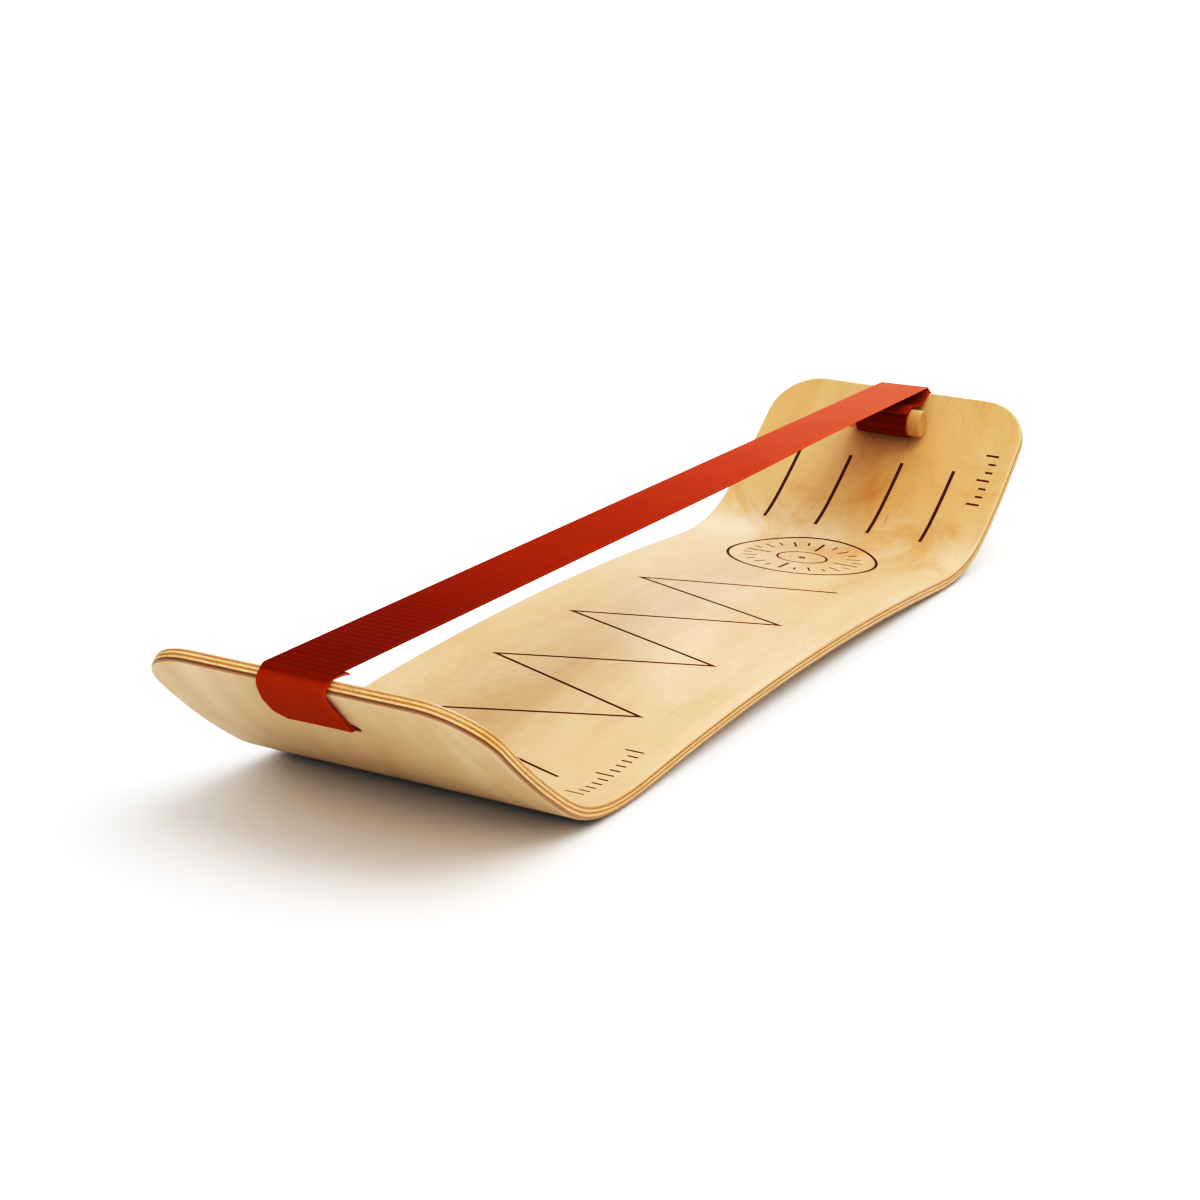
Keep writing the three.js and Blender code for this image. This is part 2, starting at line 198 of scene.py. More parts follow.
# ---------------------------------------------------------------- shader helpers
class Graph:
    """A material's node tree, built by calls that return output sockets."""

    def __init__(self, name):
        self.mat = bpy.data.materials.new(name)
        self.mat.use_nodes = True
        self.tree = self.mat.node_tree
        self.bsdf = self.tree.nodes["Principled BSDF"]

    def node(self, kind):
        return self.tree.nodes.new(kind)

    def put(self, socket, value):
        """Link a socket, or set its value; colours may leave out alpha."""
        if isinstance(value, bpy.types.NodeSocket):
            self.tree.links.new(value, socket)
            return
        if hasattr(value, "__len__") and len(value) == 3 and len(socket.default_value) == 4:
            value = (*value, 1.0)
        socket.default_value = value

    def attr(self, name, out="Vector"):
        node = self.node("ShaderNodeAttribute")
        node.attribute_name = name
        return node.outputs[out]

    def math(self, op, *values):
        node = self.node("ShaderNodeMath")
        node.operation = op
        for socket, value in zip(node.inputs, values):
            self.put(socket, value)
        return node.outputs[0]

    def add(self, a, b):
        return self.math("ADD", a, b)

    def sub(self, a, b):
        return self.math("SUBTRACT", a, b)

    def mul(self, a, b):
        return self.math("MULTIPLY", a, b)

    def abs(self, value):
        return self.math("ABSOLUTE", value)

    def sine(self, value, period):
        return self.math("SINE", self.mul(value, math.tau / period))

    def vector(self, op, a, b):
        node = self.node("ShaderNodeVectorMath")
        node.operation = op
        self.put(node.inputs[0], a)
        self.put(node.inputs[1], b)
        return node.outputs[0]

    def split(self, vector):
        node = self.node("ShaderNodeSeparateXYZ")
        self.put(node.inputs[0], vector)
        return node.outputs

    def join(self, *parts):
        node = self.node("ShaderNodeCombineXYZ")
        for socket, part in zip(node.inputs, parts):
            self.put(socket, part)
        return node.outputs[0]

    def noise(self, vector, freq=None, detail=3.0, rough=0.5, warp=0.0):
        """Noise texture; freq is how often it varies per metre along each axis."""
        if freq:
            vector = self.vector("MULTIPLY", vector, freq)
        node = self.node("ShaderNodeTexNoise")
        self.put(node.inputs["Vector"], vector)
        self.put(node.inputs["Scale"], 1.0)
        self.put(node.inputs["Detail"], detail)
        self.put(node.inputs["Roughness"], rough)
        self.put(node.inputs["Distortion"], warp)
        return node.outputs["Fac"]

    def ramp(self, fac, stops):
        node = self.node("ShaderNodeValToRGB")
        elements = node.color_ramp.elements
        while len(elements) < len(stops):
            elements.new(0.5)
        for i, (position, color) in enumerate(stops):
            elements[i].position = position
            elements[i].color = (*color, 1.0)
        self.put(node.inputs[0], fac)
        return node.outputs[0]

    def mix(self, fac, a, b, mode="MIX"):
        node = self.node("ShaderNodeMix")
        node.data_type = "RGBA"
        node.blend_type = mode
        node.clamp_factor = True
        self.put(node.inputs[0], fac)
        self.put(node.inputs[6], a)
        self.put(node.inputs[7], b)
        return node.outputs[2]

    def tint(self, color, factors):
        return self.mix(1.0, color, factors, "MULTIPLY")

    def paint(self, color, mask, amount, over):
        """Lay the colour over where the mask says, by an amount."""
        return self.mix(self.mul(mask, amount), color, over)

    def stain(self, color, mask, amount, factors, base=None):
        """Lay a tinted copy of the colour, or of base, where the mask says."""
        fac = self.mul(mask, amount)
        return self.mix(fac, color, self.tint(base or color, factors))

    def smooth(self, value, lo, hi):
        """Smooth step from 0 at lo to 1 at hi; lo may be the larger."""
        node = self.node("ShaderNodeMapRange")
        node.interpolation_type = "SMOOTHSTEP"
        for socket, setting in zip(node.inputs, (value, lo, hi)):
            self.put(socket, setting)
        return node.outputs[0]

    def bump(self, height, distance, strength):
        node = self.node("ShaderNodeBump")
        self.put(node.inputs["Height"], height)
        self.put(node.inputs["Distance"], distance)
        self.put(node.inputs["Strength"], strength)
        return node.outputs[0]

    def out(self, color, rough, normal=None, **extra):
        """Feed the Principled shader; extra names its inputs with _ for each space."""
        inputs = self.bsdf.inputs
        self.put(inputs["Base Color"], color)
        self.put(inputs["Roughness"], rough)
        if normal is not None:
            self.put(inputs["Normal"], normal)
        for key, value in extra.items():
            self.put(inputs[key.replace("_", " ")], value)
        return self.mat


def srgb(*levels):
    """Linear colour from 0-255 sRGB levels."""
    def linear(level):
        c = level / 255
        return c / 12.92 if c <= 0.04045 else ((c + 0.055) / 1.055) ** 2.4
    return tuple(linear(level) for level in levels)


# ---------------------------------------------------------------- materials (lengths in metres)
BARK_BROWN = (0.36, 0.155, 0.045)


def face_birch(name, light, mid, amber, kick_shade_tint, grain, amber_amount, seed=0.0, rim_brown=0.0):
    """Rotary-cut birch under clear satin lacquer."""
    g = Graph(name)
    dev = g.attr("dev")
    s, y, n = g.split(dev)
    p = g.vector("ADD", dev, (seed, seed * 0.37, 0.0))
    cloud = g.noise(p, (3.6, 15.0, 1.0), detail=5.0, rough=0.58, warp=0.8)
    col = g.mix(g.smooth(cloud, 0.32, 0.70), light, mid)

    # contour figure of a peeled log: a wide and a narrow set of wandering lines, in places
    wander = g.noise(p, (3.4, 8.0, 1.0), rough=0.55, warp=0.3)
    height = g.add(g.mul(wander, 0.30), g.mul(y, 0.55))
    wide = g.sine(height, 0.0115)
    narrow = g.sine(height, 0.0043)
    figure = g.add(g.mul(wide, 0.65), g.mul(narrow, 0.35))
    where = g.smooth(g.noise(p, (5.0, 7.0, 1.0), detail=2.0), 0.42, 0.66)
    figure = g.mul(g.smooth(figure, 0.15, 0.95), where)
    col = g.stain(col, figure, 0.30 * grain, (0.90, 0.77, 0.58))

    # amber clouds, stronger round the bends and strongest at the far one
    patch = g.noise(p, (9.0, 11.0, 1.0), detail=4.0, rough=0.6, warp=1.2)
    patch = g.smooth(patch, 0.47, 0.70)
    bend = g.sub(1.0, g.smooth(g.abs(g.sub(g.abs(s), 0.385)), 0.03, 0.13))
    bend = g.mul(bend, g.add(0.25, g.mul(g.smooth(s, -0.1, 0.1), 0.75)))
    clouds = g.mul(patch, g.add(0.12, g.mul(bend, 0.88)))
    col = g.paint(col, clouds, amber_amount, amber)

    # silky cross shimmer
    shimmer = g.noise(p, (130.0, 16.0, 1.0), rough=0.6, warp=0.4)
    col = g.stain(col, g.smooth(shimmer, 0.50, 0.78), 0.13 * grain, (0.84, 0.72, 0.55))
    # fine lengthwise pores
    pores = g.noise(p, (26.0, 720.0, 1.0), detail=4.0, rough=0.66)
    col = g.stain(col, g.smooth(pores, 0.48, 0.76), 0.20 * grain, (0.72, 0.58, 0.42))
    # pith flecks: short brown dashes at a slight angle to the grain
    slanted = g.join(g.add(g.mul(s, 34.0), g.mul(y, 26.0)),
                     g.add(g.mul(y, 210.0), g.mul(s, 22.0)), seed)
    fleck = g.noise(slanted, detail=2.0, warp=0.4)
    col = g.paint(col, g.smooth(fleck, 0.70, 0.77), 0.38 * grain, BARK_BROWN)
    # a few faint mineral streaks
    streak = g.noise(p, (10.0, 80.0, 1.0), detail=2.0, warp=1.5)
    col = g.paint(col, g.smooth(streak, 0.66, 0.76), 0.16 * grain, (0.45, 0.25, 0.11))
    # pin knots
    cells = g.node("ShaderNodeTexVoronoi")
    g.put(cells.inputs["Vector"], g.vector("ADD", p, (0.031, 0.013, 0.0)))
    g.put(cells.inputs["Scale"], 7.5)
    knot = g.sub(1.0, g.smooth(cells.outputs["Distance"], 0.010, 0.024))
    col = g.paint(col, knot, 0.55 * grain, (0.30, 0.12, 0.035))
    if rim_brown:
        # the lower rounding painted brown towards the ply above it, fading out towards the under
        # face
        col = g.paint(col, g.smooth(n, -0.0051, -0.0044), rim_brown, BARK_BROWN)

    # painted shade: the kicks are painted darker and more golden than the flat, where they turn
    # away from the light
    kick = g.smooth(g.abs(s), 0.37, 0.43)
    col = g.mix(kick, g.tint(col, (0.91, 0.90, 0.91)), g.tint(col, kick_shade_tint))
    rough = g.add(0.36, g.mul(g.noise(p, (30.0, 60.0, 1.0)), 0.16))
    relief = g.add(g.mul(pores, 0.6), g.mul(cloud, 0.4))
    normal = g.bump(relief, distance=0.00006, strength=0.5)
    # the lacquer lies thicker on the rounded edge
    edge = g.smooth(g.abs(n), 0.00515, 0.0046)
    return g.out(col, rough, normal, Coat_Weight=g.add(0.10, g.mul(edge, 0.75)),
                 Coat_Roughness=0.20, Specular_IOR_Level=0.25)


def ply_edge(name, light, dark, cross, rim_dark=0.0):
    """Lacquered edge of a core veneer: streaks on long veneers, end grain on cross veneers."""
    g = Graph(name)
    dev = g.attr("dev")
    if cross:
        fine = g.noise(dev, (900.0, 900.0, 1500.0), detail=2.0, rough=0.6)
        broad = g.noise(dev, (60.0, 60.0, 300.0), rough=0.6)
    else:
        fine = g.noise(dev, (60.0, 200.0, 2600.0), rough=0.6)
        broad = g.noise(dev, (18.0, 18.0, 500.0), rough=0.6)
    col = g.mix(g.smooth(fine, 0.35, 0.75), light, dark)
    col = g.stain(col, g.smooth(broad, 0.40, 0.75), 0.5, (0.78, 0.66, 0.52))
    if rim_dark:
        s = g.split(dev)[0]
        col = g.paint(col, g.smooth(g.abs(s), 0.36, 0.50), rim_dark, (0.17, 0.070, 0.020))
    col = g.tint(col, (0.93, 0.90, 0.86))
    return g.out(col, 0.42, g.bump(fine, distance=0.00008, strength=0.6),
                 Coat_Weight=0.40, Coat_Roughness=0.16)


def webbing_material(name):
    """Woven polyester. web is (along, across, side), side being 1 on one face of the band and -1
    on the other; tone 0..1 is painted light and shade, running from a shaded dark red to a lit
    pale coral, and it also sets the sheen and how strongly the broad bands show."""
    g = Graph(name)
    web = g.attr("web")
    painted_light = g.attr("painted_light", "Fac")
    u, v, _ = g.split(web)
    rib = g.sine(u, 0.00162)
    twill = g.math("SINE", g.add(g.mul(u, math.tau / 0.00324), g.mul(v, math.tau / 0.0016)))
    yarn = g.sine(v, 0.0008)
    weave = g.add(g.mul(rib, 0.45), g.add(g.mul(yarn, 0.2), g.mul(twill, 0.35)))
    slow = g.noise(web, (16.0, 34.0, 1.0))
    bands = g.noise(web, (150.0, 5.0, 1.0), detail=2.0, rough=0.55)
    broad = g.math("SINE", g.add(g.mul(u, math.tau / 0.0079),
                                 g.add(g.mul(slow, 1.6), g.mul(v, 9.0))))
    fuzz = g.noise(web, (1700.0, 1700.0, 1.0), detail=2.0)
    # the band's colour is painted light: dark red where it is painted as shaded, pale coral where
    # painted as lit
    base = g.ramp(painted_light, [
        (0.00, (0.370, 0.0290, 0.0003)),
        (0.14, (0.450, 0.0400, 0.0003)),
        (0.27, (0.590, 0.0740, 0.0008)),
        (0.42, (0.650, 0.0980, 0.0080)),
        (0.60, (0.850, 0.1720, 0.0560)),
        (0.76, (0.970, 0.2500, 0.1200)),
        (1.00, (0.990, 0.3200, 0.2000)),
    ])
    col = g.mix(g.smooth(weave, -0.9, 0.9),
                g.tint(base, (0.80, 0.70, 0.66)), g.tint(base, (1.14, 1.22, 1.22)))
    # faint pale clouds, dark crosswise bands, and broad bands where the band is painted as shaded
    col = g.stain(col, g.smooth(slow, 0.4, 0.7), 0.16, (1.25, 1.45, 1.5), base)
    col = g.stain(col, g.smooth(bands, 0.42, 0.78), 0.20, (0.60, 0.52, 0.48), base)
    col = g.stain(col, g.smooth(broad, -0.6, 0.9), g.mul(g.smooth(painted_light, 0.45, 0.02), 0.55),
                  (0.66, 0.60, 0.55))
    # paler, brighter lines along the band's edges: a painted highlight where its edges catch the
    # light
    col = g.stain(col, g.smooth(g.abs(v), 0.0236, 0.0243), 0.22, (1.6, 2.2, 2.2), base)
    # painted shade on the thin side faces, which lie in shadow between the layers and the wood
    side = g.smooth(g.abs(g.split(web)[2]), 0.95, 0.3)
    col = g.mix(side, col, g.tint(col, (0.55, 0.42, 0.38)))
    relief = g.add(g.mul(weave, 0.5), g.mul(fuzz, 0.30))
    return g.out(col, 0.80, g.bump(relief, distance=0.00014, strength=0.7),
                 Sheen_Weight=g.mul(g.smooth(painted_light, 0.35, 1.0), 0.45), Sheen_Roughness=0.45,
                 Sheen_Tint=(1.0, 0.40, 0.26), Specular_IOR_Level=0.03)


def pin_material(name, seed):
    """Bare turned hardwood. loc is (along the pin, and two across); the ends show rings, rays
    and saw marks."""
    pith = (0.022, 0.016)       # ring centre's distance off the pin's axis
    g = Graph(name)
    loc = g.attr("loc")
    a, b, c = g.split(loc)
    along = g.vector("ADD", g.vector("MULTIPLY", loc, (25.0, 420.0, 420.0)), (seed, 0, 0))
    fibre = g.noise(along, detail=4.0, rough=0.6)
    radius = g.math("SQRT", g.add(g.math("POWER", g.add(b, pith[0]), 2.0),
                                  g.math("POWER", g.add(c, pith[1]), 2.0)))
    wobble = g.noise(loc, (8.0, 90.0, 90.0), detail=2.0)

    # long faces
    ring = g.sine(g.add(radius, g.mul(wobble, 0.0010)), 0.0016)
    col = g.paint((0.64, 0.38, 0.15), g.smooth(ring, -0.3, 0.95), 0.45, (0.48, 0.25, 0.085))
    col = g.paint(col, g.smooth(fibre, 0.45, 0.75), 0.45, (0.36, 0.18, 0.065))

    # ends
    end = g.smooth(g.abs(a), 0.0345, 0.0349)
    pores = g.noise(loc, (50.0, 2400.0, 2400.0), detail=2.0)
    saw = g.noise(g.join(0.0, g.mul(g.add(b, c), 1500.0), g.mul(g.sub(b, c), 60.0)), detail=2.0)
    ring = g.sine(g.add(radius, g.mul(wobble, 0.0022)), 0.0030)
    end_col = g.paint((0.72, 0.43, 0.165), g.smooth(ring, 0.1, 0.95), 0.75, (0.34, 0.15, 0.045))
    angle = g.math("ARCTAN2", g.add(c, pith[1]), g.add(b, pith[0]))
    ray = g.math("SINE", g.mul(angle, 70.0))
    end_col = g.paint(end_col, g.smooth(ray, 0.80, 0.98), 0.45, (0.36, 0.17, 0.05))
    end_col = g.paint(end_col, g.smooth(pores, 0.55, 0.72), 0.55, (0.24, 0.11, 0.035))
    end_col = g.paint(end_col, g.smooth(saw, 0.55, 0.75), 0.30, (0.80, 0.54, 0.26))
    col = g.mix(end, col, end_col)
    relief = g.add(g.mul(fibre, 0.5), g.mul(g.mul(pores, end), 0.8))
    return g.out(col, 0.58, g.bump(relief, distance=0.00015, strength=0.6),
                 Specular_IOR_Level=0.35)


def rubber_material(name):
    """Gritty black rubber with paler worn patches."""
    g = Graph(name)
    dev = g.attr("dev")
    grit = g.noise(dev, (900.0, 900.0, 900.0), rough=0.6)
    wear = g.noise(dev, (30.0, 30.0, 30.0))
    col = g.mix(g.smooth(grit, 0.35, 0.7), (0.016, 0.013, 0.011), (0.050, 0.043, 0.037))
    col = g.paint(col, g.smooth(wear, 0.5, 0.75), 0.35, (0.10, 0.088, 0.075))
    return g.out(col, 0.82, g.bump(grit, distance=0.0002, strength=0.7))


def burnt_line(name):
    """Dark scorched wood, streaked along the grain."""
    g = Graph(name)
    dev = g.attr("dev")
    streaks = g.noise(dev, (120.0, 700.0, 1.0))
    patches = g.noise(dev, (30.0, 30.0, 1.0), detail=2.0)
    col = g.mix(g.smooth(streaks, 0.3, 0.75), (0.055, 0.014, 0.004), (0.105, 0.030, 0.010))
    col = g.paint(col, patches, 0.25, (0.14, 0.05, 0.02))
    return g.out(col, 0.75, Specular_IOR_Level=0.08)


M_TOP = face_birch(
    "birch_top_face", light=srgb(232, 201, 158), mid=srgb(221, 184, 133),
    amber=srgb(206, 144, 64), kick_shade_tint=(0.90, 0.82, 0.68), grain=1.0, amber_amount=0.62)
M_BOTTOM = face_birch(
    "birch_under_face", light=srgb(234, 214, 186), mid=srgb(220, 194, 160),
    amber=srgb(190, 136, 78), kick_shade_tint=(0.97, 0.97, 0.97), grain=0.8, amber_amount=0.35,
    seed=3.1, rim_brown=0.85)
M_LONG = ply_edge("birch_long_edge", light=srgb(246, 218, 162), dark=srgb(212, 160, 92),
                  cross=False)
M_CROSS = ply_edge("birch_cross_edge", light=srgb(200, 142, 76), dark=srgb(152, 92, 38),
                   cross=True)
M_CROSS_LOW = ply_edge("birch_cross_edge_low", light=srgb(198, 146, 100),
                       dark=srgb(164, 108, 66), cross=True, rim_dark=0.85)
M_WEB = webbing_material("webbing_red")
M_RUBBER = rubber_material("strip_rubber")
M_LINE = burnt_line("burnt_line")


# ---------------------------------------------------------------- deck veneers
def deck_stations():
    """Arc lengths of the grid's rows, rim to rim, closer at the bends, slots and corners."""
    parts = []
    for start, stop, spacing in (
            (0, 262, 16.0), (262, 422, 3.4), (422, SLOT_S - SLOT_HALF_W, 6.6)):
        parts.append(np.linspace(start, stop, int(round((stop - start) / spacing)) + 1))
    parts.append(SLOT_S - SLOT_HALF_W * np.cos(np.linspace(0, math.pi, 13)))
    corner_start = math.asin(4.4 / CORNER_R)
    corner = np.sin(np.linspace(corner_start, math.pi / 2, 22))
    parts.append(HALF_ARC - CORNER_R + CORNER_R * corner)
    half = np.unique(np.round(np.concatenate(parts), 4))
    return np.concatenate([-half[:0:-1], half])


STATIONS = deck_stations()
ROWS = len(STATIONS)
# columns: shares of the way from the outer edge to the slot's end, then shares along the slot
OUTER = np.array([0.0, 0.008, 0.03, 0.12, 0.30, 0.52, 0.76, 1.0])
MID = np.array([0.25, 0.5, 0.75])
COLS = len(OUTER) * 2 + len(MID)
SLOT_COL0, SLOT_COL1 = len(OUTER) - 1, len(OUTER) + len(MID)


def slot_blocks():
    """Grid block (first row, last row, first column, last column) of each slot."""
    blocks = []
    for side in (-1, 1):
        rows = np.flatnonzero(np.abs(STATIONS - side * SLOT_S) < SLOT_HALF_W + 1e-3)
        blocks.append((int(rows[0]), int(rows[-1]), SLOT_COL0, SLOT_COL1))
    return blocks


SLOTS = slot_blocks()


def deck_grid(n, inset, slot_grow):
    """Grid of dev points at height n: outline drawn in by inset, slots widened by slot_grow."""
    grid = np.zeros((ROWS, COLS, 3))
    corner_s = HALF_ARC - CORNER_R
    slot_rim = SLOT_S + SLOT_HALF_W
    share = np.concatenate([OUTER, np.ones(len(MID)), OUTER[::-1]])
    for row, s in enumerate(STATIONS):
        u, side = abs(s), (1 if s >= 0 else -1)
        edge_s, edge_y = u, half_width(u) - inset
        if u > corner_s:
            turn = math.asin(min(1.0, (u - corner_s) / CORNER_R))
            radius = CORNER_R - inset
            edge_s = corner_s + radius * math.sin(turn)
            edge_y -= radius * (1 - math.cos(turn))

        slot_s, slot_y = u, SLOT_HALF_L - SLOT_HALF_W
        if u > slot_rim:
            slot_s = u - inset * ((u - slot_rim) / (HALF_ARC - slot_rim))
        offset = u - SLOT_S
        if abs(offset) <= SLOT_HALF_W + 1e-6:
            round_end = math.sqrt(max(0.0, 1 - (offset / SLOT_HALF_W) ** 2))
            slot_y += (SLOT_HALF_W + slot_grow) * round_end
            slot_s = SLOT_S + offset * (SLOT_HALF_W + slot_grow) / SLOT_HALF_W

        grid[row, :, 0] = side * (edge_s + (slot_s - edge_s) * share)
        grid[row, :, 1] = np.concatenate([
            -(edge_y + (slot_y - WEB_Y - edge_y) * OUTER),
            WEB_Y - slot_y + 2 * slot_y * MID,
            edge_y + (slot_y + WEB_Y - edge_y) * OUTER[::-1]])
        grid[row, :, 2] = n
    return grid


def used_points(is_face):
    """Which grid points a level needs: all but the slots' insides on a face, else only walls."""
    used = np.full((ROWS, COLS), is_face)
    used[[0, -1], :] = True
    used[:, [0, -1]] = True
    for row0, row1, col0, col1 in SLOTS:
        used[row0:row1 + 1, [col0, col1]] = True
        used[[row0, row1], col0:col1 + 1] = True
        used[row0 + 1:row1, col0 + 1:col1] = False
    return used


def build_veneer(name, levels):
    """Closed solid with both slots through it; levels are deck_grid arguments, lowest first."""
    verts, index = [], []
    for k, level in enumerate(levels):
        used = used_points(k in (0, len(levels) - 1))
        ids = -np.ones((ROWS, COLS), int)
        ids[used] = np.arange(used.sum()) + len(verts)
        verts.extend(deck_grid(*level)[used].tolist())
        index.append(ids)
    faces = sheet_faces(index[-1], index[0], SLOTS)
    for low, high in zip(index, index[1:]):
        faces += wall_faces(low, high, block_ring(0, ROWS - 1, 0, COLS - 1))
        for block in SLOTS:
            faces += wall_faces(high, low, block_ring(*block))
    dev = np.array(verts)
    return mesh_object(name, deck_to_world(dev), faces, {"dev": dev * MM})


VENEERS = [                     # top to bottom: object, CAD piece, material, colour slot
    ("veneer_top_face", "deck_veneer_1_top_face", M_TOP, "face_veneer"),
    ("veneer_cross_upper", "deck_veneer_2_cross", M_CROSS, "cross_veneer"),
    ("veneer_long_upper", "deck_veneer_3_long", M_LONG, "long_veneer"),
    ("veneer_core", "deck_veneer_4_core_cross", M_CROSS, "cross_veneer"),
    ("veneer_long_lower", "deck_veneer_5_long", M_LONG, "long_veneer"),
    ("veneer_cross_lower", "deck_veneer_6_cross", M_CROSS_LOW, "cross_veneer"),
    ("veneer_under_face", "deck_veneer_7_bottom_face", M_BOTTOM, "under_veneer"),
]
VENEER_PITCH = DECK_T / PLIES
VENEER_GAP = 0.012              # hairline between neighbouring veneers
# heights on the rounded edge of the top face, lowest first
ROUND_HEIGHTS = [H - EDGE_R * (1 - math.sin(angle))
                 for angle in np.radians([38, 48, 58, 68, 78, 85, 90])]

for i, (name, cad_piece, mat, slot) in enumerate(VENEERS):
    high = H - i * VENEER_PITCH
    low = H - (i + 1) * VENEER_PITCH + VENEER_GAP
    if i == 0:
        heights = [low] + ROUND_HEIGHTS
    elif i == PLIES - 1:
        heights = [-n for n in reversed(ROUND_HEIGHTS)] + [high]
    elif i in (1, PLIES - 2):
        heights = np.linspace(low, high, 5)
    else:
        heights = [low, high]
    levels = [(n, round_over(H - abs(n), EDGE_R), round_over(H - abs(n), SLOT_ROUND))
              for n in heights]
    finish_piece(build_veneer(name, levels), mat, "root", slot, cad_piece)


# ---------------------------------------------------------------- burnt lines on the top face
LINE_PROUD, LINE_FOOT = 0.05, 0.5   # above and below the deck's top face
RIBBON_STEP = 3.0
COMPASS = (283.0, 1.0)              # centre of the ring, (s, y)


def ribbon(points, width, closed):
    """Verts (dev) and faces of a thin solid along a path of (s, y) points."""
    corners = [np.array(p, float) for p in points]
    if closed:
        corners.append(corners[0])
    path = [corners[0]]
    for a, b in zip(corners[:-1], corners[1:]):
        count = max(1, int(math.ceil(np.linalg.norm(b - a) / RIBBON_STEP)))
        path += [a + (b - a) * i / count for i in range(1, count + 1)]
    segments = len(path) - 1

    verts = []
    for i, here in enumerate(path):
        if closed:
            before = path[i - 1 if i else segments - 1]
            after = path[i + 1 if i < segments else 1]
        else:
            before, after = path[max(0, i - 1)], path[min(segments, i + 1)]
        t1, t2 = here - before, after - here
        t1 = t1 / (np.linalg.norm(t1) or 1)
        t2 = t2 / (np.linalg.norm(t2) or 1)
        tangent = t1 + t2
        tangent /= np.linalg.norm(tangent) or 1
        # widen at corners so the line keeps its width, up to a limit
        widen = max(0.35, float(tangent @ (t1 if np.linalg.norm(t1) else t2)))
        aside = np.array([-tangent[1], tangent[0]]) * (width / 2 / widen)
        top, foot = H + LINE_PROUD, H - LINE_FOOT
        for sign, n in ((1, top), (-1, top), (-1, foot), (1, foot)):
            verts.append((*(here + sign * aside), n))

    faces = []
    for i in range(segments):
        a, b = 4 * i, 4 * (i + 1)
        if closed and i == segments - 1:
            b = 0
        faces += [(a + k, b + k, b + (k + 1) % 4, a + (k + 1) % 4) for k in range(4)]
    if closed:
        return verts[:4 * segments], faces
    last = 4 * segments
    return verts, faces + [(0, 1, 2, 3), (last + 3, last + 2, last + 1, last)]


def on_compass(radius, angle):
    return (COMPASS[0] + radius * math.cos(angle), COMPASS[1] + radius * math.sin(angle))


def pattern_lines():
    """The pattern's strokes as (points, width, closed)."""
    zigzag = [(-318 + 62 * i, 78 if i % 2 else -76) for i in range(9)]
    lines = [(zigzag, 2.5, False)]
    # ring, inner circle and centre dot
    for radius, width, count in ((66.0, 2.5, 120), (22.0, 1.8, 60), (2.2, 2.4, 16)):
        circle = [on_compass(radius, math.tau * i / count) for i in range(count)]
        lines.append((circle, width, True))
    # rays inside the ring, longest at the quarters
    for k in range(24):
        angle = math.radians(15 * k)
        inner = 30.0 if k % 6 == 0 else (40.0 if k % 2 == 0 else 45.0)
        ray = [on_compass(inner, angle), on_compass(53, angle)]
        lines.append((ray, 1.6 if k % 6 else 2.2, False))
    # parallel bars on the far kick
    for y in (-76, -25, 26, 77):
        lines.append(([(374, y), (470, y)], 3.1, False))
    # tick rows: start, pitch, count, foot y, every how many is long, long, short, width
    for start, pitch, count, foot, every, long, short, width in (
            (-342, 9, 11, -108, 5, 14, 8, 1.8),
            (434, 10, 7, -112, 3, 12, 7, 2.2)):
        for i in range(count):
            s, length = start + pitch * i, short if i % every else long
            lines.append(([(s, foot), (s, foot + length)], width, False))
    return lines


def build_pattern():
    verts, faces = [], []
    for line in pattern_lines():
        line_verts, line_faces = ribbon(*line)
        first = len(verts)
        verts += line_verts
        faces += [tuple(i + first for i in face) for face in line_faces]
    dev = np.array(verts)
    ob = mesh_object("burnt_pattern", deck_to_world(dev), faces, {"dev": dev * MM}, smooth=False)
    finish_piece(ob, M_LINE, "root", "face_veneer")


build_pattern()

# ---------------------------------------------------------------- webbing
WEB_W, WEB_T = 50.0, 1.6
WEB_GAP = 0.3                   # between two layers of the band
WOOD_GAP = 0.4                  # between the band and the deck
PIN_GAP = 0.35                  # between the band and a pin
BAND_STEP = 0.27                # mesh step along the band
LAYER = WEB_T + WEB_GAP
R_INNER = EDGE_R + WOOD_GAP + WEB_T / 2     # inner layer's middle round the rim
R_OUTER = R_INNER + WEB_T + WEB_GAP
# (radius, height of the pin's underside above the top face)
NEAR_PIN, FAR_PIN = (6.5, 1.7), (12.5, 2.2)
TAIL_START = 600.0              # the tails' own length at their start

# Paths round a rim are drawn as (distance in from the rim, height above the mid-surface).
EDGE_TOP, EDGE_LOW = (EDGE_R, H - EDGE_R), (EDGE_R, -H + EDGE_R)    # centres of the roundings
RIM_SLOPE = slope(HALF_ARC)
UP = math.atan2(math.cos(RIM_SLOPE), -math.sin(RIM_SLOPE))          # angle of world up
# rounding centres in the world, (x, z)
RIM = {side: tuple(float(v) for v in at(side * (HALF_ARC - EDGE_R), H - EDGE_R))
       for side in (-1, 1)}
SPAN_Z = RIM[1][1] + R_OUTER


def arc(centre, radius, start, stop, count):
    t = np.linspace(start, stop, count + 1)
    return np.stack([centre[0] + radius * np.cos(t), centre[1] + radius * np.sin(t)], 1)


def along_kick(side, points):
    """Rim points to world (x, z), following the deck's curve."""
    return np.stack(at(side * (HALF_ARC - points[:, 0]), points[:, 1]), 1)


def at_slot(side, points):
    """Rim points to world (x, z) in the straight frame of the slot."""
    x0, z0 = (float(v) for v in at(side * SLOT_S, 0))
    angle = slope(SLOT_S)
    u, n = SLOT_D - points[:, 0], points[:, 1]
    return np.stack([x0 + side * (u * math.cos(angle) - n * math.sin(angle)),
                     z0 + u * math.sin(angle) + n * math.cos(angle)], 1)


